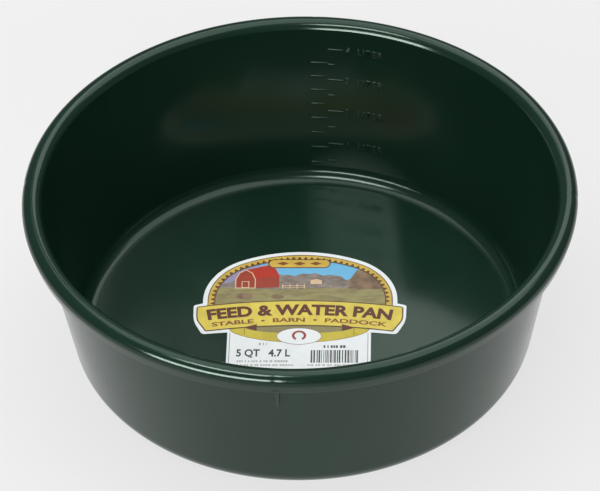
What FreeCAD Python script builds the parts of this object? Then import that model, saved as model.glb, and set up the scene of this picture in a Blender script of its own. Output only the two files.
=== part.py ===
import FreeCAD, Part
import math
import os

# A round, shallow feed pan: one injection moulding of dark green plastic with a
# rolled, down-turned rim, four small ribs under the rim and a raised volume scale
# on the inside of the back wall, and a printed label stuck flat on its floor.
#
# Frame: millimetres, +Z up, origin at the centre of the base on the surface the pan
# stands on. +Y is the back, where the scale is; the label reads right way up from -Y.

# ---- Driving dimensions of the pan ----
RIM_RADIUS = 146.0          # widest point, on the outside of the rolled rim
PAN_HEIGHT = 101.0          # base to the crest of the rim
DRAFT = math.radians(9.6)   # both faces of the wall lean out by this much
FLOOR_THICKNESS = 3.2
WALL_THICKNESS = 3.5        # measured level, across the wall
INNER_RADIUS = 119.6        # inner wall extended down to the top of the floor
INNER_FILLET = 9.0
OUTER_FILLET = 13.0

# ---- Rim section ----
INNER_EDGE_HEIGHT = 97.2    # where the inner wall breaks into the bevel
INNER_EDGE_FILLET = 3.0
BEVEL_ANGLE = math.radians(60.0)
ROLL_RADIUS = 5.2           # outside of the roll
LIP_TAPER = math.radians(14.0)
LIP_BOTTOM = 89.6
LIP_THICKNESS = 2.2
CHANNEL_ROOF = 98.6         # top of the hollow under the roll

# ---- Ribs between the lip and the wall ----
RIB_AZIMUTHS = (85.5, 175.5, 264.2, 355.5)
SCALE_AZIMUTH = math.radians(85.5)
RIB_THICKNESS = 1.5
RIB_FOOT = 71.5             # lowest point, where the rib dies into the wall
RIB_TAPER = 2.0             # height over which the foot slopes out
RIB_DEPTH = 2.4             # how far the rib stands out of the wall below the lip

# ---- Injection gate on the underside ----
GATE_DIMPLE_RADIUS = 8.0
GATE_DIMPLE_DEPTH = 0.8
GATE_STUB_RADIUS = 1.6
GATE_STUB_HEIGHT = 0.5

# ---- Raised volume scale, two columns of marks ----
MARK_PROUD = 0.45
MARK_ROOT = 0.6             # depth by which each mark is bedded in the wall
MARK_HEIGHT = 1.0
MARK_COUNT = 8
LITRE_COLUMN = {"volume_step": 517.0e3, "start": 7.4, "short": 4.4, "long": 8.9}
QUART_COLUMN = {"volume_step": 458.0e3, "start": -2.0, "short": 7.6, "long": 9.4}
DIGIT_START = 17.2
DIGIT_WIDTH = 3.0
DIGIT_HEIGHT = 4.6
DIGIT_STROKE = 0.8
UNIT_START = 23.0
# Seven-bar figures: a top, b and c right, d bottom, e and f left, g middle
FIGURE_BARS = {"1": "bc", "2": "abged", "3": "abgcd", "4": "fgbc", "L": "fed"}

# ---- Label ----
LABEL_CENTRE = (-1.9, 0.0)
LABEL_TURN = -2.3           # degrees, seen from above
LABEL_THICKNESS = 0.12
ADHESIVE_THICKNESS = 0.05
ARCH_HALF_WIDTH = 53.0
ARCH_TOP = 56.0
ARCH_SPRING = 17.0
ARCH_SIDE_RADIUS = 35.0
BANNER_HALF_WIDTH = 58.0
BANNER_TOP = 12.6
BANNER_SHOULDER = 14.2
BANNER_BOTTOM = -10.2
PANEL_HALF_WIDTH = 38.8
PANEL_SHOULDER = -8.7
PANEL_BOTTOM = -43.0

Z_AXIS = FreeCAD.Vector(0, 0, 1)


def turned(vector, angle):
    """The 2-D vector (x, z) turned anticlockwise by an angle in radians."""
    x, z = vector
    return (x * math.cos(angle) - z * math.sin(angle), x * math.sin(angle) + z * math.cos(angle))


def rounded_outline(corners, to_point):
    """Edges of a closed outline. Each corner is (x, y, fillet radius)."""
    count = len(corners)
    stations = []
    for i, (x, y, radius) in enumerate(corners):
        back = corners[i - 1]
        ahead = corners[(i + 1) % count]
        into = math.atan2(y - back[1], x - back[0])
        out = math.atan2(ahead[1] - y, ahead[0] - x)
        turn = (out - into + math.pi) % (2 * math.pi) - math.pi
        reach = radius * abs(math.tan(turn / 2))
        start = (x - reach * math.cos(into), y - reach * math.sin(into))
        end = (x + reach * math.cos(out), y + reach * math.sin(out))
        side = math.copysign(1.0, turn)
        centre = (start[0] - side * radius * math.sin(into), start[1] + side * radius * math.cos(into))
        arm = turned((start[0] - centre[0], start[1] - centre[1]), turn / 2)
        middle = (centre[0] + arm[0], centre[1] + arm[1])
        stations.append((start, middle, end, radius))
    edges = []
    for i, (start, middle, end, radius) in enumerate(stations):
        if radius > 0:
            edges.append(Part.Arc(to_point(start), to_point(middle), to_point(end)).toShape())
        following = stations[(i + 1) % count][0]
        if math.dist(end, following) > 1e-6:
            edges.append(Part.LineSegment(to_point(end), to_point(following)).toShape())
    return edges


def section_point(point):
    """A point of the pan's section, (radius, height), in the XZ plane."""
    return FreeCAD.Vector(point[0], 0, point[1])


def floor_point(point):
    """A point of the label's outline, on the plane Z = 0."""
    return FreeCAD.Vector(point[0], point[1], 0)


def inner_wall(height):
    return INNER_RADIUS + (height - FLOOR_THICKNESS) * math.tan(DRAFT)


def outer_wall(height):
    return inner_wall(height) + WALL_THICKNESS


def lip_outer(height):
    """Outer face of the lip: it meets the roll so that the roll's widest point is RIM_RADIUS."""
    roll_level = PAN_HEIGHT - ROLL_RADIUS
    at_roll = RIM_RADIUS - ROLL_RADIUS + ROLL_RADIUS / math.cos(LIP_TAPER)
    return at_roll + (height - roll_level) * math.tan(LIP_TAPER)


def lip_inner(height):
    return lip_outer(height) - LIP_THICKNESS / math.cos(LIP_TAPER)


def pan_shell():
    """The bare pan, turned from its section."""
    edge_radius = inner_wall(INNER_EDGE_HEIGHT)
    bevel_top = edge_radius + (PAN_HEIGHT - INNER_EDGE_HEIGHT) / math.tan(BEVEL_ANGLE)
    roll_start = lip_outer(PAN_HEIGHT) - ROLL_RADIUS * math.tan((math.pi / 2 + LIP_TAPER) / 2)
    bevel_fillet = (roll_start - bevel_top) / math.tan(BEVEL_ANGLE / 2)
    corners = [
        (0.0, FLOOR_THICKNESS, 0.0),
        (INNER_RADIUS, FLOOR_THICKNESS, INNER_FILLET),
        (edge_radius, INNER_EDGE_HEIGHT, INNER_EDGE_FILLET),
        (bevel_top, PAN_HEIGHT, bevel_fillet),
        (lip_outer(PAN_HEIGHT), PAN_HEIGHT, ROLL_RADIUS),
        (lip_outer(LIP_BOTTOM), LIP_BOTTOM, 0.9),
        (lip_inner(LIP_BOTTOM), LIP_BOTTOM, 0.7),
        (lip_inner(CHANNEL_ROOF), CHANNEL_ROOF, 2.6),
        (outer_wall(CHANNEL_ROOF), CHANNEL_ROOF, 1.1),
        (outer_wall(0.0), 0.0, OUTER_FILLET),
        (0.0, 0.0, 0.0),
    ]
    wire = Part.Wire(Part.__sortEdges__(rounded_outline(corners, section_point)))
    return Part.Face(wire).revolve(FreeCAD.Vector(0, 0, 0), Z_AXIS, 360)


def rib():
    """One rib in the XZ plane, from inside the wall to inside the lip and the roof."""
    bedded = 1.0
    roof = CHANNEL_ROOF + bedded
    points = [
        (outer_wall(RIB_FOOT) - bedded, RIB_FOOT),
        (outer_wall(RIB_FOOT), RIB_FOOT),
        (outer_wall(RIB_FOOT + RIB_TAPER) + RIB_DEPTH, RIB_FOOT + RIB_TAPER),
        (outer_wall(LIP_BOTTOM) + RIB_DEPTH, LIP_BOTTOM),
        (lip_inner(LIP_BOTTOM + 1.0) + bedded, LIP_BOTTOM + 1.0),
        (lip_inner(roof - 4.0) + bedded, roof - 4.0),
        (lip_inner(roof - 4.0) - bedded, roof),
        (outer_wall(roof) - bedded, roof),
    ]
    face = Part.Face(Part.makePolygon([section_point(p) for p in points + points[:1]]))
    plate = face.extrude(FreeCAD.Vector(0, RIB_THICKNESS, 0))
    plate.translate(FreeCAD.Vector(0, -RIB_THICKNESS / 2, 0))
    return plate


def ribs():
    placed = []
    for azimuth in RIB_AZIMUTHS:
        plate = rib()
        plate.rotate(FreeCAD.Vector(0, 0, 0), Z_AXIS, azimuth)
        placed.append(plate)
    return placed


def level_of(volume):
    """Height of the feed when the pan holds this many cubic millimetres."""
    lean = math.tan(DRAFT)
    cube = INNER_RADIUS ** 3 + 3 * lean * volume / math.pi
    return FLOOR_THICKNESS + (cube ** (1 / 3) - INNER_RADIUS) / lean


def wall_bar(offset, height, shift, width, tall):
    """A raised bar on the inner wall: its left end and lower edge lie at (shift)
    from the point that is offset to the right of the scale's axis, at this height."""
    azimuth = SCALE_AZIMUTH - offset / inner_wall(height)
    away = FreeCAD.Vector(math.cos(azimuth), math.sin(azimuth), 0)
    right = FreeCAD.Vector(math.sin(azimuth), -math.cos(azimuth), 0)
    up_wall = away * math.sin(DRAFT) + Z_AXIS * math.cos(DRAFT)
    inward = Z_AXIS * math.sin(DRAFT) - away * math.cos(DRAFT)
    origin = away * inner_wall(height) + Z_AXIS * height
    bar = Part.makeBox(width, tall, MARK_ROOT + MARK_PROUD, FreeCAD.Vector(shift[0], shift[1], -MARK_ROOT))
    bar.Placement = FreeCAD.Placement(FreeCAD.Matrix(
        right.x, up_wall.x, inward.x, origin.x,
        right.y, up_wall.y, inward.y, origin.y,
        right.z, up_wall.z, inward.z, origin.z,
        0, 0, 0, 1))
    return bar


def figure(name, offset, height):
    """One raised figure, built of straight bars, with its middle at this height."""
    half = DIGIT_HEIGHT / 2
    stroke = DIGIT_STROKE
    right = DIGIT_WIDTH - stroke
    bars = {
        "a": (0.0, half - stroke, DIGIT_WIDTH, stroke),
        "g": (0.0, -stroke / 2, DIGIT_WIDTH, stroke),
        "d": (0.0, -half, DIGIT_WIDTH, stroke),
        "f": (0.0, 0.0, stroke, half),
        "e": (0.0, -half, stroke, half),
        "b": (right, 0.0, stroke, half),
        "c": (right, -half, stroke, half),
    }
    solids = []
    for letter in FIGURE_BARS[name]:
        x, y, width, tall = bars[letter]
        solids.append(wall_bar(offset, height, (x, y), width, tall))
    return solids


def scale_marks():
    """Both columns of marks, and the figures beside the whole litres."""
    solids = []
    for column in (LITRE_COLUMN, QUART_COLUMN):
        for step in range(1, MARK_COUNT + 1):
            height = level_of(column["volume_step"] * step)
            whole = step % 2 == 0
            length = column["long"] if whole else column["short"]
            solids.append(wall_bar(column["start"], height, (0.0, -MARK_HEIGHT / 2), length, MARK_HEIGHT))
            if whole and column is LITRE_COLUMN:
                solids += figure(str(step // 2), DIGIT_START, height)
                solids += figure("L", UNIT_START, height)
    return solids


def gate():
    """The dimple under the floor and the stub left in it where the gate was cut."""
    dimple = Part.makeCylinder(GATE_DIMPLE_RADIUS, GATE_DIMPLE_DEPTH)
    stub = Part.makeCylinder(GATE_STUB_RADIUS, GATE_STUB_HEIGHT,
                             FreeCAD.Vector(0, 0, GATE_DIMPLE_DEPTH - GATE_STUB_HEIGHT))
    return dimple.cut(stub)


def pan():
    body = pan_shell().cut(gate())
    return body.multiFuse(ribs() + scale_marks()).removeSplitter()


def label_outline():
    """Die-cut outline: an arch above, a banner across the middle, a panel below."""
    side = ARCH_SIDE_RADIUS
    inset = ARCH_HALF_WIDTH - side
    rise = ARCH_TOP - ARCH_SPRING
    crown = (rise ** 2 + inset ** 2 - side ** 2) / (2 * (rise - side))
    crown_centre = ARCH_TOP - crown
    lean = math.atan2(inset, ARCH_SPRING - crown_centre)
    joint = (crown * math.sin(lean), crown_centre + crown * math.cos(lean))
    half_side = (math.pi / 2 - lean) / 2
    haunch = (inset + side * math.cos(half_side), ARCH_SPRING + side * math.sin(half_side))
    spring = (ARCH_HALF_WIDTH, ARCH_SPRING)

    def mirrored(point):
        return (-point[0], point[1])

    def arc(a, b, c):
        return Part.Arc(floor_point(a), floor_point(b), floor_point(c)).toShape()

    arch = [
        arc(spring, haunch, joint),
        arc(joint, (0.0, ARCH_TOP), mirrored(joint)),
        arc(mirrored(joint), mirrored(haunch), mirrored(spring)),
        Part.LineSegment(floor_point(mirrored(spring)), floor_point(spring)).toShape(),
    ]
    right_half = [
        (PANEL_HALF_WIDTH, PANEL_BOTTOM, 1.5),
        (PANEL_HALF_WIDTH, PANEL_SHOULDER, 0.5),
        (BANNER_HALF_WIDTH - 5.4, BANNER_BOTTOM, 2.5),
        (BANNER_HALF_WIDTH - 0.4, 0.0, 20.0),
        (BANNER_HALF_WIDTH, BANNER_TOP, 1.8),
        (ARCH_HALF_WIDTH, BANNER_SHOULDER, 0.3),
        (ARCH_HALF_WIDTH, ARCH_SPRING, 0.0),
    ]
    left_half = [(-x, y, radius) for x, y, radius in reversed(right_half)]
    lower = rounded_outline(right_half + left_half, floor_point)
    arch_face = Part.Face(Part.Wire(Part.__sortEdges__(arch)))
    lower_face = Part.Face(Part.Wire(Part.__sortEdges__(lower)))
    return arch_face.fuse(lower_face).removeSplitter().Faces[0]


def label_layer(bottom, thickness):
    """A layer of the label's outline, laid at this height on the floor."""
    face = label_outline()
    face.rotate(FreeCAD.Vector(0, 0, 0), Z_AXIS, LABEL_TURN)
    face.translate(FreeCAD.Vector(LABEL_CENTRE[0], LABEL_CENTRE[1], bottom))
    return face.extrude(FreeCAD.Vector(0, 0, thickness))


def main():
    os.makedirs("parts", exist_ok=True)
    nodes = {
        "pan": pan(),
        "label_adhesive": label_layer(FLOOR_THICKNESS, ADHESIVE_THICKNESS),
        "label": label_layer(FLOOR_THICKNESS + ADHESIVE_THICKNESS, LABEL_THICKNESS),
    }
    for name, shape in nodes.items():
        solid = shape.Solids[0]
        print(name, len(shape.Solids), solid.isValid(), round(solid.Volume / 1000, 2), "cm3", solid.BoundBox)
        solid.exportStep("parts/" + name + ".step")


main()
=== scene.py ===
import math
import random

import bmesh
import bpy
from mathutils import Matrix, Vector


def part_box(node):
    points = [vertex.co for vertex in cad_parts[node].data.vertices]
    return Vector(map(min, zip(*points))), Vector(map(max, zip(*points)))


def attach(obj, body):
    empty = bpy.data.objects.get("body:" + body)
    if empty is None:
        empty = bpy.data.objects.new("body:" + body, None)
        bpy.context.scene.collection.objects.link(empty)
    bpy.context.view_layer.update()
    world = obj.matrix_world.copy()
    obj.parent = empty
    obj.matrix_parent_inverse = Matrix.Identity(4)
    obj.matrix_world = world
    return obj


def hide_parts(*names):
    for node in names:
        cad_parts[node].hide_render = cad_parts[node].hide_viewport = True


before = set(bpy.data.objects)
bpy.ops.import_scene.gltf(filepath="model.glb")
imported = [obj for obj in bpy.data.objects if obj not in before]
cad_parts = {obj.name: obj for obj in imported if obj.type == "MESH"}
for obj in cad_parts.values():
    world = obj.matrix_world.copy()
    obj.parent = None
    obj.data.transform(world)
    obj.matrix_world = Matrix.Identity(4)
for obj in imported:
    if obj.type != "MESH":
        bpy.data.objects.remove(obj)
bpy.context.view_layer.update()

# A glossy green feed pan with a printed label on its floor. The pan and the print are written
# in millimetres and scaled by MM as each mesh is made; the room and the camera are in metres.
MM = 0.001

# ---- Pan section, the same driving sizes as the CAD ----
RIM_RADIUS = 146.0
PAN_HEIGHT = 101.0
DRAFT = math.radians(9.6)
FLOOR_THICKNESS = 3.2
WALL_THICKNESS = 3.5
INNER_RADIUS = 119.6
INNER_FILLET = 9.0
OUTER_FILLET = 13.0
INNER_EDGE_HEIGHT = 97.2
INNER_EDGE_FILLET = 3.0
BEVEL_ANGLE = math.radians(60.0)
ROLL_RADIUS = 5.2
LIP_TAPER = math.radians(14.0)
LIP_BOTTOM = 89.6
LIP_THICKNESS = 2.2
CHANNEL_ROOF = 98.6
GATE_DIMPLE_RADIUS = 8.0
GATE_DIMPLE_DEPTH = 0.8
GATE_STUB_RADIUS = 1.6
GATE_STUB_HEIGHT = 0.5
GATE_FLARE = 0.6
GATE_EDGE_FILLET = 0.4
GATE_STUB_FILLET = 0.2
LIP_OUTER_FILLET = 0.9
LIP_INNER_FILLET = 0.7
CHANNEL_OUTER_FILLET = 2.6
CHANNEL_INNER_FILLET = 1.1
SECTION_ARC_STEP = math.radians(7.5)

# ---- Small departures from a perfect turned shape ----
WANDER_OVAL = 0.11
WANDER_LOBES = 0.08
WANDER_PEAK = 0.17
SINK_DEPTH = 0.16
SINK_WIDTH = 1.7
STATION_REACH = math.radians(3.0)
STATIONS_BY_RIB = 16
STATIONS_BETWEEN = 80

# ---- Ribs and volume scale ----
RIB_AZIMUTHS = [math.radians(turn) for turn in (85.5, 175.5, 264.2, 355.5)]
SCALE_AXIS = math.radians(85.5)
RIB_THICKNESS = 1.5
RIB_FOOT = 71.5
RIB_TAPER = 2.0
RIB_DEPTH = 2.4
RIB_BEDDING = 1.0
RIB_CORNER_FILLET = 2.0
RIB_ROOF_SLOPE = 4.0
RIB_EDGE_ROUND = 0.35
MARK_PROUD = 0.45
MARK_ROOT = 0.6
MARK_HEIGHT = 1.0
MARK_EDGE_ROUND = 0.3
MARK_COUNT = 8
LITRE_COLUMN = {"volume_step": 517.0e3, "start": 7.4, "short": 4.4, "long": 8.9}
QUART_COLUMN = {"volume_step": 458.0e3, "start": -2.0, "short": 7.6, "long": 9.4}
FIGURE_START = 17.2
FIGURE_SIZE = 5.6
FIGURE_DROP = 0.35
FIGURE_SPACING = 1.1
FIGURE_EDGE_ROUND = 0.12
FIGURE_WEIGHT = 0.01

# ---- Label, in its own frame: x across from its middle, y up it, turned on the pan's floor ----
LABEL_CENTRE = (-1.9, 0.0)
LABEL_TURN = math.radians(-2.3)
LABEL_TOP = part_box("label")[1].z / MM
INK_STEP = 0.012
INK_BED = 0.02
BANNER_RADIUS = 290.0
ARCH_HALF_WIDTH = 53.0
ARCH_TOP = 56.0
ARCH_SPRING = 17.0
ARCH_SIDE_RADIUS = 35.0
ARCH_CROWN_RADIUS = 77.5
ARCH_CROWN_REACH = 0.4235
PICTURE_BOTTOM = 12.0
PICTURE_INSET = 6.4
OVAL_CENTRE = (0, -11.8)
HORSESHOE_CENTRE = (0, -11.3)
RIBBON_HALF_WIDTH = 38.0
SHADE_HALF_WIDTH = 30.0
PANEL_BOTTOM = -43.0
STRAIGHT = 1e5
PRINT_SEED = 7

# ---- Camera and room; azimuths and elevations of the lights are in degrees ----
CAMERA_DISTANCE = 1.946
CAMERA_ELEVATION = math.radians(41.97)
CAMERA_TARGET = Vector((-0.0005, 0.0, 0.0586))
CAMERA_ROLL = math.radians(-1.567)
CAMERA_LENS = 219.5
FLOOR_SIZE = 6.0
FLOOR_GAP = 0.0002
FLOOR_GLOW = 0.71
FLOOR_GLOW_FAR = 0.08
GLOW_EDGE = 0.36
GLOW_END = 1.1
ROOM_LIGHT = 0.16
LIGHT_AIM = (0.0, 0.0, 0.08)
# Lights seen only as highlights: name, azimuth, elevation, distance, width, height, brightness
GLOSS_LIGHTS = (
    ("overhead_gloss", 60.0, 74.0, 1.8, 2.4, 1.6, 1.45),
    ("key", -122.5, 16.5, 1.6, 1.35, 0.44, 16.5),
    ("near_strip", -130.9, 65.0, 0.95, 0.44, 0.17, 13.0),
    ("back_glow", 68.0, 41.0, 1.6, 0.90, 0.60, 1.6),
)


# ======================= shapes in two dimensions =======================

def arc_points(centre, radius, start, end, count):
    """Points along an arc, angles in radians, both ends included."""
    points = []
    for i in range(count + 1):
        angle = start + (end - start) * i / count
        points.append((centre[0] + radius * math.cos(angle), centre[1] + radius * math.sin(angle)))
    return points


def ellipse_points(centre, half_width, half_height, count=64):
    points = []
    for i in range(count):
        angle = 2 * math.pi * i / count
        points.append((centre[0] + half_width * math.cos(angle), centre[1] + half_height * math.sin(angle)))
    return points


def rounded(corners, arc_step=math.radians(6.0), closed=True):
    """An outline through corners (x, y, fillet radius), each fillet drawn as short chords."""
    count = len(corners)
    points = []
    for i, (x, y, radius) in enumerate(corners):
        if not closed and i in (0, count - 1):
            points.append((x, y))
            continue
        back = corners[i - 1]
        ahead = corners[(i + 1) % count]
        into = math.atan2(y - back[1], x - back[0])
        out = math.atan2(ahead[1] - y, ahead[0] - x)
        turn = (out - into + math.pi) % (2 * math.pi) - math.pi
        if radius == 0:
            points.append((x, y))
            continue
        reach = radius * abs(math.tan(turn / 2))
        side = math.copysign(1.0, turn)
        start = (x - reach * math.cos(into), y - reach * math.sin(into))
        centre = (start[0] - side * radius * math.sin(into), start[1] + side * radius * math.cos(into))
        first = into - side * math.pi / 2
        steps = max(3, round(abs(turn) / arc_step))
        points += arc_points(centre, radius, first, first + turn, steps)
    return points


def block(left, bottom, right, top):
    """A plain rectangle, anticlockwise."""
    return [(left, bottom), (right, bottom), (right, top), (left, top)]


# ======================= the pan moulding =======================

def inner_wall(height):
    return INNER_RADIUS + (height - FLOOR_THICKNESS) * math.tan(DRAFT)


def outer_wall(height):
    return inner_wall(height) + WALL_THICKNESS


def lip_outer(height):
    roll_level = PAN_HEIGHT - ROLL_RADIUS
    at_roll = RIM_RADIUS - ROLL_RADIUS + ROLL_RADIUS / math.cos(LIP_TAPER)
    return at_roll + (height - roll_level) * math.tan(LIP_TAPER)


def lip_inner(height):
    return lip_outer(height) - LIP_THICKNESS / math.cos(LIP_TAPER)


def pan_section():
    """The closed section as (radius, height) from the floor's middle out and back below."""
    edge = inner_wall(INNER_EDGE_HEIGHT)
    bevel_top = edge + (PAN_HEIGHT - INNER_EDGE_HEIGHT) / math.tan(BEVEL_ANGLE)
    roll_start = lip_outer(PAN_HEIGHT) - ROLL_RADIUS * math.tan((math.pi / 2 + LIP_TAPER) / 2)
    bevel_fillet = (roll_start - bevel_top) / math.tan(BEVEL_ANGLE / 2)
    corners = [
        (0.0, FLOOR_THICKNESS, 0.0),
        (INNER_RADIUS, FLOOR_THICKNESS, INNER_FILLET),
        (edge, INNER_EDGE_HEIGHT, INNER_EDGE_FILLET),
        (bevel_top, PAN_HEIGHT, bevel_fillet),
        (lip_outer(PAN_HEIGHT), PAN_HEIGHT, ROLL_RADIUS),
        (lip_outer(LIP_BOTTOM), LIP_BOTTOM, LIP_OUTER_FILLET),
        (lip_inner(LIP_BOTTOM), LIP_BOTTOM, LIP_INNER_FILLET),
        (lip_inner(CHANNEL_ROOF), CHANNEL_ROOF, CHANNEL_OUTER_FILLET),
        (outer_wall(CHANNEL_ROOF), CHANNEL_ROOF, CHANNEL_INNER_FILLET),
        (outer_wall(0.0), 0.0, OUTER_FILLET),
        (GATE_DIMPLE_RADIUS, 0.0, GATE_EDGE_FILLET),
        (GATE_DIMPLE_RADIUS - GATE_FLARE, GATE_DIMPLE_DEPTH, GATE_EDGE_FILLET),
        (GATE_STUB_RADIUS, GATE_DIMPLE_DEPTH, GATE_STUB_FILLET),
        (GATE_STUB_RADIUS, GATE_DIMPLE_DEPTH - GATE_STUB_HEIGHT, GATE_STUB_FILLET),
        (0.0, GATE_DIMPLE_DEPTH - GATE_STUB_HEIGHT, 0.0),
    ]
    return with_guards(rounded(corners, SECTION_ARC_STEP, closed=False))


def with_guards(points, guard=0.6, longest=9.0):
    """Adds points near both ends of long straight runs, so that shading stays true there."""
    result = [points[0]]
    for a, b in zip(points, points[1:]):
        run = math.dist(a, b)
        if run < 1e-6:
            continue
        stops = []
        if run > 4 * guard:
            inner = run - 2 * guard
            spans = max(1, math.ceil(inner / longest))
            stops = [guard + inner * i / spans for i in range(spans + 1)]
        for stop in stops:
            share = stop / run
            result.append((a[0] + (b[0] - a[0]) * share, a[1] + (b[1] - a[1]) * share))
        result.append(b)
    return result


def azimuth_stations():
    """Azimuths round the pan, closer together beside the ribs, where the rim has sink marks."""
    stations = []
    near = STATION_REACH
    for rib, following in zip(RIB_AZIMUTHS, RIB_AZIMUTHS[1:] + [RIB_AZIMUTHS[0] + 2 * math.pi]):
        for i in range(STATIONS_BY_RIB):
            stations.append(rib - near + 2 * near * i / STATIONS_BY_RIB)
        for i in range(STATIONS_BETWEEN):
            stations.append(rib + near + (following - rib - 2 * near) * i / STATIONS_BETWEEN)
    return stations


def sink(azimuth, radius, height):
    """Depth in millimetres by which the rim's roll is drawn in over the ribs."""
    if height < LIP_BOTTOM + 1.0 or radius < outer_wall(height) - 0.5:
        return 0.0
    depth = 0.0
    for rib in RIB_AZIMUTHS:
        away = (azimuth - rib + math.pi) % (2 * math.pi) - math.pi
        depth += SINK_DEPTH * math.exp(-(away * RIM_RADIUS / SINK_WIDTH) ** 2)
    return depth


def rim_wander(azimuth, height):
    """Change in radius, never outwards, growing from nothing at the foot to the rim."""
    share = max(0.0, height / PAN_HEIGHT) ** 1.5
    wave = WANDER_OVAL * math.cos(2 * azimuth + 0.9) + WANDER_LOBES * math.cos(3 * azimuth - 0.6)
    return share * (wave - WANDER_PEAK)


def make_object(name, verts, faces):
    """A smooth-shaded object from points in millimetres."""
    mesh = bpy.data.meshes.new(name)
    mesh.from_pydata([(x * MM, y * MM, z * MM) for x, y, z in verts], [], faces)
    mesh.update()
    for polygon in mesh.polygons:
        polygon.use_smooth = True
    obj = bpy.data.objects.new(name, mesh)
    bpy.context.scene.collection.objects.link(obj)
    return obj


def turned_pan():
    """The section turned round the axis, with the sink marks and the wander of the rim."""
    section = pan_section()
    azimuths = azimuth_stations()
    rings = section[1:-1]
    verts = [(0.0, 0.0, section[0][1])]
    for azimuth in azimuths:
        for radius, height in rings:
            moved = radius - sink(azimuth, radius, height) + rim_wander(azimuth, height)
            verts.append((moved * math.cos(azimuth), moved * math.sin(azimuth), height))
    verts.append((0.0, 0.0, section[-1][1]))
    last = len(verts) - 1
    per = len(rings)
    faces = []
    for i in range(len(azimuths)):
        this = 1 + i * per
        following = 1 + (i + 1) % len(azimuths) * per
        faces.append((0, this, following))
        for j in range(per - 1):
            faces.append((this + j, this + j + 1, following + j + 1, following + j))
        faces.append((this + per - 1, last, following + per - 1))
    return make_object("pan_moulding", verts, faces)


def rim_rib(azimuth):
    """One rib as a bmesh, a plate with rounded edges between the wall and the lip."""
    roof = CHANNEL_ROOF + RIB_BEDDING
    knee = roof - RIB_ROOF_SLOPE
    inside_lip = LIP_BOTTOM + 1.0
    outline = rounded([
        (outer_wall(RIB_FOOT) - RIB_BEDDING, RIB_FOOT, 0.0),
        (outer_wall(RIB_FOOT), RIB_FOOT, 0.0),
        (outer_wall(RIB_FOOT + RIB_TAPER) + RIB_DEPTH, RIB_FOOT + RIB_TAPER, RIB_CORNER_FILLET),
        (outer_wall(LIP_BOTTOM) + RIB_DEPTH, LIP_BOTTOM, RIB_CORNER_FILLET),
        (lip_inner(inside_lip) + RIB_BEDDING, inside_lip, 0.0),
        (lip_inner(knee) + RIB_BEDDING, knee, 0.0),
        (lip_inner(knee) - RIB_BEDDING, roof, 0.0),
        (outer_wall(roof) - RIB_BEDDING, roof, 0.0),
    ], math.radians(12))
    shape = bmesh.new()
    half = RIB_THICKNESS / 2
    near = [shape.verts.new((r, -half, z)) for r, z in outline]
    far = [shape.verts.new((r, half, z)) for r, z in outline]
    count = len(outline)
    shape.faces.new(near)
    shape.faces.new(list(reversed(far)))
    for i in range(count):
        j = (i + 1) % count
        shape.faces.new((near[j], near[i], far[i], far[j]))
    flanks = [e for e in shape.edges if abs(e.verts[0].co.y - e.verts[1].co.y) < 1e-6]
    bmesh.ops.bevel(shape, geom=flanks, offset=RIB_EDGE_ROUND, segments=3, profile=0.5, affect="EDGES")
    bmesh.ops.recalc_face_normals(shape, faces=shape.faces)
    shape.transform(Matrix.Rotation(azimuth, 4, "Z"))
    return shape


def mesh_from(name, shapes):
    """One object from several bmeshes drawn in millimetres."""
    verts, faces = [], []
    for shape in shapes:
        shape.verts.index_update()
        base = len(verts)
        verts += [tuple(v.co) for v in shape.verts]
        faces += [[base + v.index for v in f.verts] for f in shape.faces]
        shape.free()
    return make_object(name, verts, faces)


def rim_ribs():
    return mesh_from("rim_ribs", [rim_rib(azimuth) for azimuth in RIB_AZIMUTHS])


# ======================= the raised volume scale =======================

def level_of(volume):
    """Height of a level fill of this many cubic millimetres, leaving out the floor's fillet."""
    lean = math.tan(DRAFT)
    cube = INNER_RADIUS ** 3 + 3 * lean * volume / math.pi
    return FLOOR_THICKNESS + (cube ** (1 / 3) - INNER_RADIUS) / lean


def wall_frame(offset, height):
    """Matrix from (right, up the wall, inward) to the pan, on the inner wall."""
    reach = inner_wall(height) + rim_wander(SCALE_AXIS, height)
    azimuth = SCALE_AXIS - offset / reach
    away = Vector((math.cos(azimuth), math.sin(azimuth), 0))
    up = Vector((0, 0, 1))
    right = Vector((math.sin(azimuth), -math.cos(azimuth), 0))
    up_wall = away * math.sin(DRAFT) + up * math.cos(DRAFT)
    inward = up * math.sin(DRAFT) - away * math.cos(DRAFT)
    origin = away * reach + up * height
    matrix = Matrix((right, up_wall, inward)).transposed().to_4x4()
    matrix.translation = origin
    return matrix


def wall_mark(offset, height, length):
    """A raised bar with rounded edges on the inner wall."""
    shape = bmesh.new()
    bmesh.ops.create_cube(shape, size=1.0)
    depth = MARK_ROOT + MARK_PROUD
    shape.transform(Matrix.Diagonal((length, MARK_HEIGHT, depth, 1.0)))
    edges = list(shape.edges)
    bmesh.ops.bevel(shape, geom=edges, offset=MARK_EDGE_ROUND, segments=3, profile=0.5, affect="EDGES")
    centre = Matrix.Translation((0, 0, MARK_PROUD - depth / 2))
    shape.transform(wall_frame(offset + length / 2, height) @ centre)
    return shape


def solid_from(curve, depth, weld):
    """A closed bmesh from a curve that extrudes both ways, set down on z = 0; the curve goes."""
    holder = bpy.data.objects.new("outline", curve)
    bpy.context.scene.collection.objects.link(holder)
    bpy.context.view_layer.update()
    graph = bpy.context.evaluated_depsgraph_get()
    mesh = bpy.data.meshes.new_from_object(holder.evaluated_get(graph))
    shape = bmesh.new()
    shape.from_mesh(mesh)
    bmesh.ops.remove_doubles(shape, verts=shape.verts, dist=weld)
    shape.transform(Matrix.Translation((0, 0, depth / 2)))
    bpy.data.objects.remove(holder)
    bpy.data.curves.remove(curve)
    bpy.data.meshes.remove(mesh)
    return shape


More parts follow.
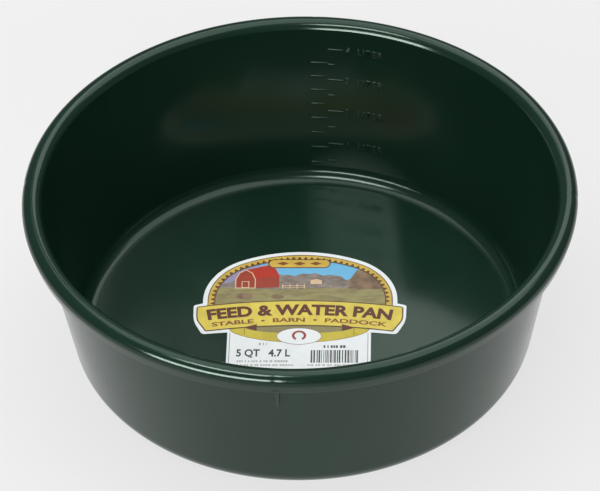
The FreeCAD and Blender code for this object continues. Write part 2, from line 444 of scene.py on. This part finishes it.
def text_shape(text, size, depth, spacing=1.0, bevel=0.0, weight=0.0):
    """A bmesh of solid lettering, baseline at y = 0, starting at x = 0, z from 0 to depth."""
    curve = bpy.data.curves.new("lettering", "FONT")
    curve.body = text
    curve.size = size
    curve.space_character = spacing
    curve.offset = weight * size
    curve.extrude = depth / 2 - bevel
    curve.bevel_depth = bevel
    curve.bevel_resolution = 1
    curve.resolution_u = 4
    return solid_from(curve, depth, size * 1e-4)


def wall_figure(text, height):
    """Raised lettering that follows the curve of the inner wall."""
    depth = MARK_ROOT + MARK_PROUD
    shape = text_shape(text, FIGURE_SIZE, depth, FIGURE_SPACING, FIGURE_EDGE_ROUND, FIGURE_WEIGHT)
    for vert in shape.verts:
        along_wall, up, out = vert.co
        spot = Vector((0, up - FIGURE_SIZE * FIGURE_DROP, out - MARK_ROOT))
        vert.co = wall_frame(FIGURE_START + along_wall, height) @ spot
    return shape


def volume_scale():
    """Two columns of marks, every second one long; the litre column also has figures."""
    shapes = []
    for column in (LITRE_COLUMN, QUART_COLUMN):
        for step in range(1, MARK_COUNT + 1):
            height = level_of(column["volume_step"] * step)
            whole = step % 2 == 0
            length = column["long"] if whole else column["short"]
            shapes.append(wall_mark(column["start"], height, length))
            if whole and column is LITRE_COLUMN:
                shapes.append(wall_figure("%d  LITER" % (step // 2), height))
    return mesh_from("volume_scale", shapes)


# ======================= materials =======================

class Nodes:
    """One material's nodes, with short calls to add and link them."""

    def __init__(self, name):
        self.material = bpy.data.materials.new(name)
        self.material.use_nodes = True
        self.tree = self.material.node_tree
        self.shader = self.tree.nodes["Principled BSDF"]

    def add(self, kind, **settings):
        node = self.tree.nodes.new(kind)
        for key, value in settings.items():
            setattr(node, key, value)
        return node

    def link(self, source, socket):
        self.tree.links.new(source, socket)

    def place(self, scale=(1.0, 1.0, 1.0)):
        """Object coordinates, stretched by scale."""
        coordinates = self.add("ShaderNodeTexCoord")
        mapping = self.add("ShaderNodeMapping")
        mapping.inputs["Scale"].default_value = scale
        self.link(coordinates.outputs["Object"], mapping.inputs["Vector"])
        return mapping.outputs["Vector"]

    def noise(self, where, scale, detail=3.0, roughness=0.5):
        node = self.add("ShaderNodeTexNoise")
        node.inputs["Scale"].default_value = scale
        node.inputs["Detail"].default_value = detail
        node.inputs["Roughness"].default_value = roughness
        self.link(where, node.inputs["Vector"])
        return node.outputs["Fac"]

    def ramp(self, source, stops):
        """A colour ramp; stops are (position, (r, g, b))."""
        node = self.add("ShaderNodeValToRGB")
        elements = node.color_ramp.elements
        while len(elements) < len(stops):
            elements.new(0.5)
        for element, (position, colour) in zip(elements, stops):
            element.position = position
            element.color = (*colour, 1.0)
        self.link(source, node.inputs["Fac"])
        return node.outputs["Color"]

    def spread(self, source, low, high, from_low=0.0, from_high=1.0):
        node = self.add("ShaderNodeMapRange")
        node.inputs["From Min"].default_value = from_low
        node.inputs["From Max"].default_value = from_high
        node.inputs["To Min"].default_value = low
        node.inputs["To Max"].default_value = high
        self.link(source, node.inputs["Value"])
        return node.outputs["Result"]

    def bump(self, source, strength, distance, under=None):
        node = self.add("ShaderNodeBump")
        node.inputs["Strength"].default_value = strength
        node.inputs["Distance"].default_value = distance
        self.link(source, node.inputs["Height"])
        if under is not None:
            self.link(under, node.inputs["Normal"])
        return node.outputs["Normal"]


def pan_plastic(name, smoothest, roughest):
    """Glossy moulded polyethylene: faint flow marks in colour, fine grain and slight waviness."""
    n = Nodes(name)
    where = n.place()
    flow = n.noise(where, 14.0, 4.0)
    colour = n.ramp(flow, [(0.3, (0.0062, 0.0225, 0.0140)), (0.7, (0.0074, 0.0270, 0.0170))])
    n.link(colour, n.shader.inputs["Base Color"])
    patches = n.noise(where, 40.0, 5.0)
    n.link(n.spread(patches, smoothest, roughest, 0.3, 0.7), n.shader.inputs["Roughness"])
    n.shader.inputs["IOR"].default_value = 1.43
    n.shader.inputs["Specular Tint"].default_value = (0.80, 1.0, 0.88, 1.0)
    waviness = n.noise(where, 22.0, 2.0)
    soft = n.bump(waviness, 0.25, 0.0006)
    grain = n.noise(where, 1800.0, 2.0)
    n.link(n.bump(grain, 0.06, 0.00008, soft), n.shader.inputs["Normal"])
    return n.material


def srgb(red, green, blue):
    """Linear colour from an 8-bit display colour."""
    linear = []
    for value in (red / 255, green / 255, blue / 255):
        linear.append(value / 12.92 if value <= 0.04045 else ((value + 0.055) / 1.055) ** 2.4)
    return tuple(linear)


def film(name, colour, roughness=0.36, contrast=0.12):
    """Printed label film: mottled ink over a slight orange peel."""
    n = Nodes(name)
    mottle = n.noise(n.place(), 160.0, 4.0)
    shade = tuple(value * (1 - contrast) for value in colour)
    n.link(n.ramp(mottle, [(0.35, shade), (0.65, colour)]), n.shader.inputs["Base Color"])
    n.link(n.spread(mottle, roughness - 0.04, roughness + 0.05), n.shader.inputs["Roughness"])
    n.link(n.bump(n.noise(n.place(), 900.0, 2.0), 0.08, 0.00004), n.shader.inputs["Normal"])
    return n.material


def printed_sky():
    """Sky ink, blue towards the right and hazy lilac towards the left."""
    n = Nodes("ink_sky")
    where = n.place()
    split = n.add("ShaderNodeSeparateXYZ")
    n.link(where, split.inputs["Vector"])
    across = n.spread(split.outputs["X"], 0.0, 1.0, -0.034, -0.008)
    clouds = n.noise(n.place((1.0, 2.6, 1.0)), 110.0, 4.0)
    blend = n.add("ShaderNodeMath", operation="MULTIPLY_ADD")
    n.link(clouds, blend.inputs[0])
    blend.inputs[1].default_value = 0.5
    n.link(n.spread(across, -0.25, 0.75), blend.inputs[2])
    stops = [(0.15, srgb(142, 136, 168)), (0.6, srgb(124, 166, 200)), (0.95, srgb(104, 176, 214))]
    n.link(n.ramp(blend.outputs[0], stops), n.shader.inputs["Base Color"])
    n.shader.inputs["Roughness"].default_value = 0.36
    return n.material


def printed_land(name, dark, light, grain=(1.0, 3.0, 1.0)):
    """A picture ink in two tones with streaks that run across the label."""
    n = Nodes(name)
    streaks = n.noise(n.place(grain), 170.0, 5.0, 0.6)
    n.link(n.ramp(streaks, [(0.36, dark), (0.62, light)]), n.shader.inputs["Base Color"])
    n.shader.inputs["Roughness"].default_value = 0.36
    return n.material


# ======================= the printed label =======================

def on_label(shape, bottom=0.0):
    """Moves a bmesh from the label's frame in millimetres onto the pan's floor."""
    place = Matrix.Translation((LABEL_CENTRE[0], LABEL_CENTRE[1], LABEL_TOP + bottom))
    shape.transform(place @ Matrix.Rotation(LABEL_TURN, 4, "Z"))


def filled(outlines, layer):
    """A bmesh of closed ink prisms; holes are outlines inside outlines, layer sets the height."""
    depth = INK_BED + INK_STEP * layer
    curve = bpy.data.curves.new("ink", "CURVE")
    curve.dimensions = "2D"
    curve.fill_mode = "BOTH"
    curve.extrude = depth / 2
    for outline in outlines:
        spline = curve.splines.new("POLY")
        spline.points.add(len(outline) - 1)
        for point, (x, y) in zip(spline.points, outline):
            point.co = (x, y, 0, 1)
        spline.use_cyclic_u = True
    return solid_from(curve, depth, 1e-4)


def ink(name, outlines, layer, material, extra=()):
    """One printed colour: outlines and ready shapes in the label's frame, laid on the paper."""
    shapes = list(extra)
    if outlines:
        shapes.append(filled(outlines, layer))
    for shape in shapes:
        on_label(shape, -INK_BED)
    piece = mesh_from(name, shapes)
    for polygon in piece.data.polygons:
        polygon.use_smooth = False
    piece.data.materials.append(material)
    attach(piece, "root")


def bend(x, y, radius):
    """Bends a point of a level strip along an arc whose middle is far below the label."""
    return ((radius + y) * math.sin(x / radius), (radius + y) * math.cos(x / radius) - radius)


def bent(outline, radius, finest=3.0):
    """A bent outline, with points added on long runs so that they curve."""
    points = []
    for a, b in zip(outline, outline[1:] + outline[:1]):
        steps = max(1, math.ceil(abs(b[0] - a[0]) / finest))
        for i in range(steps):
            x = a[0] + (b[0] - a[0]) * i / steps
            y = a[1] + (b[1] - a[1]) * i / steps
            points.append(bend(x, y, radius))
    return points


def grow(outline, distance):
    """The outline moved outwards by distance; outlines run anticlockwise."""
    result = []
    count = len(outline)
    for i, (x, y) in enumerate(outline):
        ax, ay = outline[i - 1]
        bx, by = outline[(i + 1) % count]
        first = Vector((y - ay, ax - x)).normalized()
        second = Vector((by - y, x - bx)).normalized()
        normal = (first + second).normalized()
        reach = distance / max(0.5, normal.dot(first))
        result.append((x + normal.x * reach, y + normal.y * reach))
    return result


def mirrored(outline):
    return [(-x, y) for x, y in reversed(outline)]


def lettering(text, size, layer, middle, baseline, width, radius, weight=0.0):
    """Solid lettering, stretched to a width, thickened by weight and bent along an arc."""
    depth = INK_BED + INK_STEP * layer
    shape = text_shape(text, size, depth, weight=weight)
    low = min(v.co.x for v in shape.verts)
    high = max(v.co.x for v in shape.verts)
    stretch = width / (high - low)
    for v in shape.verts:
        x = middle + (v.co.x - (low + high) / 2) * stretch
        v.co.x, v.co.y = bend(x, baseline + v.co.y, radius)
    return shape


def arch_top(x, inset):
    """Height of the arched edge above a place across the label, moved in by inset."""
    crown_radius = ARCH_CROWN_RADIUS - inset
    side_radius = ARCH_SIDE_RADIUS - inset
    side_x = ARCH_HALF_WIDTH - ARCH_SIDE_RADIUS
    if abs(x) < side_x + side_radius * ARCH_CROWN_REACH:
        return math.sqrt(crown_radius ** 2 - x * x) + ARCH_TOP - ARCH_CROWN_RADIUS
    return ARCH_SPRING + math.sqrt(max(0.0, side_radius ** 2 - (abs(x) - side_x) ** 2))


def arch_path(inset, bottom):
    """Points along the arched edge from lower left to lower right."""
    half = ARCH_HALF_WIDTH - inset
    steps = 72
    points = [(-half, bottom)]
    for i in range(steps + 1):
        x = -half * math.cos(math.pi * i / steps)
        points.append((x, arch_top(x, inset)))
    points.append((half, bottom))
    return points


def arch_band(outer, inner, bottom):
    """The closed band between two insets from the arched edge."""
    return arch_path(outer, bottom) + list(reversed(arch_path(inner, bottom)))


def ground(skyline, bottom, inset, left=-60.0, right=60.0):
    """The part of the arch below a skyline, given as a function of the place across."""
    half = ARCH_HALF_WIDTH - inset
    first = max(left, -half)
    last = min(right, half)
    steps = 90
    top = []
    for i in range(steps + 1):
        x = first + (last - first) * i / steps
        top.append((x, max(bottom + 0.2, min(skyline(x), arch_top(x, inset)))))
    return [(first, bottom)] + top + [(last, bottom)]


def along(path, start, spacing):
    """(x, y, heading) at equal spaces along a path of points."""
    wanted = start
    walked = 0.0
    for (ax, ay), (bx, by) in zip(path, path[1:]):
        run = math.dist((ax, ay), (bx, by))
        while run > 0 and wanted <= walked + run:
            share = (wanted - walked) / run
            yield ax + (bx - ax) * share, ay + (by - ay) * share, math.atan2(by - ay, bx - ax)
            wanted += spacing
        walked += run


def rope_teeth():
    """Small triangles along the border, their points turned outwards."""
    teeth = []
    for x, y, heading in along(arch_path(6.0, 13.0), 1.2, 3.3):
        right = (math.cos(heading), math.sin(heading))
        out = (-right[1], right[0])
        base_left = (x - right[0] * 1.25, y - right[1] * 1.25)
        base_right = (x + right[0] * 1.25, y + right[1] * 1.25)
        point = (x + out[0] * 2.1, y + out[1] * 2.1)
        teeth.append([base_left, base_right, point])
    return teeth


def lozenge(x, y, half_width, half_height):
    return [(x - half_width, y), (x, y - half_height), (x + half_width, y), (x, y + half_height)]


def hill_line(x):
    rise = 37.6 + 0.8 * math.sin(x * 0.31) + 0.5 * math.sin(x * 0.83 + 1.0)
    fall_left = 6.5 / (1 + math.exp((x + 24.0) / 3.0))
    gap = 5.5 * math.exp(-((x - 25.0) / 3.2) ** 2)
    return rise - fall_left - gap


def tree_line(x):
    reach = max(0.0, 1 - ((x - 37.5) / 11.0) ** 2)
    return 27.0 + 17.0 * math.sqrt(reach) + 0.5 * math.sin(x * 1.7) + 0.35 * math.sin(x * 3.1)


def field_line(x):
    return 26.2 + 0.5 * math.sin(x * 0.11) + 0.25 * math.sin(x * 0.9)


def barn_shapes():
    """A plain gambrel barn seen from its end and one side, in three parts."""
    end = [
        (-35.6, 26.6), (-25.0, 26.6), (-25.0, 33.6), (-26.8, 38.6),
        (-30.3, 41.2), (-33.8, 38.6), (-35.6, 33.6),
    ]
    roof = [
        (-25.0, 33.6), (-26.8, 38.6), (-30.3, 41.2),
        (-17.6, 45.2), (-14.0, 42.4), (-11.8, 36.6),
    ]
    side = [(-25.0, 26.6), (-11.8, 27.2), (-11.8, 36.6), (-25.0, 33.6)]
    return end, roof, side


def dashes(dots, left, right, bottom, height):
    """A line of short dashes of random length in place of small print."""
    marks = []
    x = left
    while x < right:
        length = min(dots.uniform(0.6, 1.5), right - x + 0.3)
        marks.append(block(x, bottom, x + length, bottom + height))
        x += length + dots.choice((0.35, 0.35, 1.1))
    return marks


def label_inks():
    """Every printed colour by name."""
    inks = {
        "paper": film("label_paper", srgb(230, 235, 236), 0.34, 0.05),
        "brown": film("ink_brown", srgb(74, 46, 24)),
        "maroon": film("ink_maroon", srgb(84, 34, 8)),
        "rust": film("ink_rust", srgb(122, 66, 18)),
        "yellow": film("ink_yellow", srgb(218, 198, 78), contrast=0.14),
        "gold": film("ink_gold", srgb(206, 172, 70), contrast=0.2),
        "straw": film("ink_straw", srgb(196, 180, 52), contrast=0.16),
        "olive": film("ink_olive", srgb(132, 124, 80)),
        "red": film("ink_red", srgb(152, 52, 28), contrast=0.2),
        "roofing": film("ink_roofing", srgb(176, 40, 8), contrast=0.2),
        "pale": film("ink_pale", srgb(216, 186, 150)),
        "grey": film("ink_grey", srgb(172, 174, 172)),
        "black": film("ink_black", srgb(52, 54, 54)),
        "sky": printed_sky(),
    }
    inks["field"] = printed_land("ink_field", srgb(118, 108, 70), srgb(146, 140, 92), (0.5, 2.0, 1.0))
    inks["hills"] = printed_land("ink_hills", srgb(102, 90, 82), srgb(140, 130, 122))
    inks["trees"] = printed_land("ink_trees", srgb(96, 76, 58), srgb(132, 108, 82), (1.0, 1.0, 1.0))
    return inks


def print_picture(inks):
    """The white arch with its keylines, the rope border and the picture inside it."""
    low = PICTURE_BOTTOM
    inset = PICTURE_INSET
    ink("label_keyline", [arch_band(2.5, 3.0, low), arch_band(6.1, 6.7, low)], 9, inks["brown"])
    ink("label_border", [arch_band(2.8, 6.3, low)], 7, inks["gold"])
    ink("label_border_teeth", rope_teeth(), 8, inks["brown"])
    ink("label_sky", [ground(lambda x: ARCH_TOP, low, inset)], 1, inks["sky"])
    ink("label_hills", [ground(hill_line, low, inset)], 2, inks["hills"])
    ink("label_trees", [ground(tree_line, 22.0, inset, 26.5, 60.0)], 3, inks["trees"])
    ink("label_field", [ground(field_line, low, inset)], 4, inks["field"])

    end, roof, side = barn_shapes()
    ink("label_barn", [end, side], 5, inks["red"])
    ink("label_barn_roof", [roof], 6, inks["roofing"])
    trim = [grow(end, 0.35), grow(end, -0.25)]
    door = block(-32.4, 26.8, -28.2, 32.0)
    shed = [(5.4, 29.8), (11.6, 29.8), (11.6, 32.6), (8.5, 34.0), (5.4, 32.6)]
    ink("label_barn_trim", trim + [door, grow(door, -0.5), shed], 7, inks["pale"])
    rails = [block(-10.0, y, 2.0, y + 0.45) for y in (27.0, 28.4)]
    posts = [block(x, 26.2, x + 0.6, 29.6) for x in (-10.2, -6.2, -2.2, 1.8)]
    ink("label_fence_rails", rails, 7, inks["pale"])
    ink("label_fence_posts", posts, 8, inks["pale"])
    bushes = [
        ellipse_points((-12.5, 19.6), 3.6, 1.9, 24),
        ellipse_points((-30.5, 20.0), 4.6, 2.6, 24),
    ]
    ink("label_bushes", bushes, 5, inks["trees"])


def print_plaque(inks):
    """The plain plaque over the picture, with three lozenges."""
    plaque = rounded([(-17.6, 43.4, 3.0), (15.6, 43.4, 3.0), (15.6, 49.4, 3.0), (-17.6, 49.4, 3.0)])
    marks = [lozenge(x, 46.4, 3.4, 1.5) for x in (-10.0, -1.0, 8.0)]
    ink("label_plaque_edge", [grow(plaque, 0.55)], 8, inks["brown"])
    ink("label_plaque", [plaque], 10, inks["gold"])
    ink("label_plaque_marks", marks, 11, inks["rust"])


def print_ribbon(inks):
    """The ribbon behind the banner, its folds, and the oval with a horseshoe."""
    ribbon = []
    for share in range(-24, 25):
        x = RIBBON_HALF_WIDTH * share / 24
        ribbon.append((x, -6.0 - 10.4 * math.sqrt(1 - (x / RIBBON_HALF_WIDTH) ** 2) ** 1.25))
    ribbon += [(RIBBON_HALF_WIDTH, 0.0), (-RIBBON_HALF_WIDTH, 0.0)]
    inner = []
    for share in range(-16, 17):
        x = SHADE_HALF_WIDTH * share / 16
        inner.append((x, -4.6 - 4.8 * math.sqrt(1 - (x / SHADE_HALF_WIDTH) ** 2)))
    inner += [(SHADE_HALF_WIDTH, 0.0), (-SHADE_HALF_WIDTH, 0.0)]
    ink("label_ribbon_edge", [grow(ribbon, 0.3)], 1, inks["rust"])
    ink("label_ribbon", [ribbon], 2, inks["straw"])
    ink("label_ribbon_shade", [inner], 3, inks["olive"])
    fold = [(-29.8, -4.9), (-23.0, -7.6), (-23.0, -2.4)]
    ink("label_ribbon_folds", [fold, mirrored(fold)], 15, inks["maroon"])
    creases = [block(x - 0.15, -10.8, x + 0.15, -4.5) for x in (-29.6, 29.6)]
    ink("label_ribbon_creases", creases, 4, inks["rust"])

    ink("label_oval_edge", [ellipse_points(OVAL_CENTRE, 12.2, 6.5)], 5, inks["rust"])
    ink("label_oval", [ellipse_points(OVAL_CENTRE, 11.9, 6.2)], 6, inks["paper"])
    shoe = arc_points(HORSESHOE_CENTRE, 3.9, math.radians(-62), math.radians(242), 28)
    shoe += arc_points(HORSESHOE_CENTRE, 2.5, math.radians(236), math.radians(-56), 24)
    ink("label_horseshoe", [shoe], 7, inks["red"])


def print_banner(inks):
    """The bent banner and its two lines of plain words."""
    corners = [
        (-51.2, -3.0, 0.8), (51.2, -3.0, 0.8), (54.6, 6.5, 11.0), (53.0, 15.9, 0.8),
        (-53.0, 15.9, 0.8), (-54.6, 6.5, 11.0),
    ]
    banner = bent(rounded(corners), BANNER_RADIUS)
    ink("label_banner_edge", [grow(banner, 0.7)], 12, inks["brown"])
    ink("label_banner", [banner], 13, inks["yellow"])
    words = lettering("FEED & WATER PAN", 11.0, 14, 0.0, 5.3, 98.0, BANNER_RADIUS, 0.045)
    ink("label_banner_words", [], 14, inks["maroon"], [words])
    places = "STABLE  \u2022  BARN  \u2022  PADDOCK"
    note = lettering(places, 4.4, 14, 0.0, -0.5, 95.0, BANNER_RADIUS, 0.03)
    ink("label_banner_note", [], 14, inks["rust"], [note])


def print_panel(inks):
    """The white panel below: capacity, dashes for small print and a block of random stripes."""
    lines = [block(x - 0.14, PANEL_BOTTOM + 1.4, x + 0.14, -9.0) for x in (-37.4, 37.2)]
    ink("label_panel_lines", lines, 1, inks["black"])
    capacity = lettering("5 QT   4.7 L", 7.6, 1, -19.0, -27.4, 29.0, STRAIGHT, 0.03)
    ink("label_capacity", [], 1, inks["black"], [capacity])
    dots = random.Random(PRINT_SEED)
    small_print = dashes(dots, -33.0, -6.0, -32.0, 1.5)
    small_print += dashes(dots, -33.0, -3.0, -34.9, 1.3)
    ink("label_small_print", small_print, 1, inks["grey"])
    ink("label_small_note", dashes(dots, 13.4, 25.2, -20.9, 2.0), 1, inks["black"])
    ink("label_small_size", dashes(dots, -21.5, -17.5, -18.8, 1.9), 1, inks["grey"])
    stripes = []
    x = 6.6
    while x < 31.4:
        width = dots.choice((0.35, 0.35, 0.6, 0.9))
        stripes.append(block(x, -32.4, x + width, -22.6))
        x += width + dots.choice((0.4, 0.55, 0.85))
    ink("label_stripes", stripes, 1, inks["black"])
    ink("label_stripe_notes", dashes(dots, 5.0, 31.5, -34.9, 1.3), 1, inks["grey"])


def printed_label():
    """Prints on the CAD label; an ink's number is its layer, and higher layers lie on top."""
    inks = label_inks()
    print_picture(inks)
    print_plaque(inks)
    print_ribbon(inks)
    print_banner(inks)
    print_panel(inks)

    glue = film("label_glue", srgb(206, 204, 190), 0.3)
    for node, material in (("label", inks["paper"]), ("label_adhesive", glue)):
        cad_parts[node].data.materials.clear()
        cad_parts[node].data.materials.append(material)


def main():
    """Replaces the CAD pan with the detailed one and prints the label."""
    polished = pan_plastic("pan_plastic", 0.13, 0.18)
    etched = pan_plastic("etched_plastic", 0.27, 0.35)
    pan = turned_pan()
    for piece, plastic in ((pan, polished), (rim_ribs(), polished), (volume_scale(), etched)):
        piece.data.materials.append(plastic)
        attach(piece, "root")
    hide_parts("pan")

    printed_label()


def studio():
    """The pale floor, the lights and the camera."""
    scene = bpy.context.scene
    scene.view_settings.view_transform = "Standard"
    world = bpy.data.worlds.new("room")
    world.use_nodes = True
    world.node_tree.nodes["Background"].inputs["Color"].default_value = (1.0, 1.0, 1.0, 1.0)
    world.node_tree.nodes["Background"].inputs["Strength"].default_value = ROOM_LIGHT
    scene.world = world

    half = FLOOR_SIZE / 2
    mesh = bpy.data.meshes.new("studio_floor")
    corners = [(x, y, 0) for x, y in block(-half, -half, half, half)]
    mesh.from_pydata(corners, [], [(0, 1, 2, 3)])
    floor = bpy.data.objects.new("studio_floor", mesh)
    floor.location.z = -FLOOR_GAP
    scene.collection.objects.link(floor)
    n = Nodes("floor_paper")
    shade = n.ramp(n.noise(n.place(), 3.0, 2.0), [(0.3, (0.13, 0.13, 0.13)), (0.7, (0.15, 0.15, 0.15))])
    n.link(shade, n.shader.inputs["Base Color"])
    n.shader.inputs["Roughness"].default_value = 0.9
    n.shader.inputs["Specular IOR Level"].default_value = 0.1
    n.shader.inputs["Emission Color"].default_value = (1.0, 1.0, 1.0, 1.0)
    reach = n.add("ShaderNodeVectorMath", operation="LENGTH")
    n.link(n.place(), reach.inputs[0])
    glow = n.spread(reach.outputs["Value"], FLOOR_GLOW, FLOOR_GLOW_FAR, GLOW_EDGE, GLOW_END)
    n.link(glow, n.shader.inputs["Emission Strength"])
    mesh.materials.append(n.material)

    overhead = softbox("overhead", (-0.2, 0.35, 1.75), (-0.2, 0.3, 0.0), 2.4, 1.7, 2.3)
    overhead.visible_glossy = False
    for name, azimuth, elevation, distance, width, height, brightness in GLOSS_LIGHTS:
        place = around(LIGHT_AIM, azimuth, elevation, distance)
        gloss = softbox(name, place, LIGHT_AIM, width, height, brightness)
        gloss.visible_diffuse = False
    fill = softbox("fill", around(LIGHT_AIM, -110.0, 30.0, 1.8), LIGHT_AIM, 1.6, 0.9, 2.2)
    fill.visible_glossy = False

    camera_data = bpy.data.cameras.new("camera")
    camera_data.lens = CAMERA_LENS
    camera_data.sensor_width = 36.0
    camera_data.clip_end = 20.0
    camera = bpy.data.objects.new("camera", camera_data)
    scene.collection.objects.link(camera)
    towards = Vector((0, -math.cos(CAMERA_ELEVATION), math.sin(CAMERA_ELEVATION)))
    camera.location = CAMERA_TARGET + towards * CAMERA_DISTANCE
    level = towards.to_track_quat("Z", "Y").to_matrix().to_4x4()
    camera.rotation_euler = (level @ Matrix.Rotation(CAMERA_ROLL, 4, "Z")).to_euler()
    scene.camera = camera


def around(centre, azimuth, elevation, distance):
    """A place seen from centre at an azimuth and elevation in degrees."""
    level = distance * math.cos(math.radians(elevation))
    return (
        centre[0] + level * math.cos(math.radians(azimuth)),
        centre[1] + level * math.sin(math.radians(azimuth)),
        centre[2] + distance * math.sin(math.radians(elevation)),
    )


def softbox(name, place, aim, width, height, brightness):
    """A rectangular area light; brightness is the radiance of its face."""
    data = bpy.data.lights.new(name, "AREA")
    data.shape = "RECTANGLE"
    data.size = width
    data.size_y = height
    data.energy = 4.0 * width * height * brightness
    lamp = bpy.data.objects.new(name, data)
    lamp.location = place
    direction = Vector(place) - Vector(aim)
    lamp.rotation_euler = direction.to_track_quat("Z", "Y").to_euler()
    bpy.context.scene.collection.objects.link(lamp)
    return lamp


main()
studio()
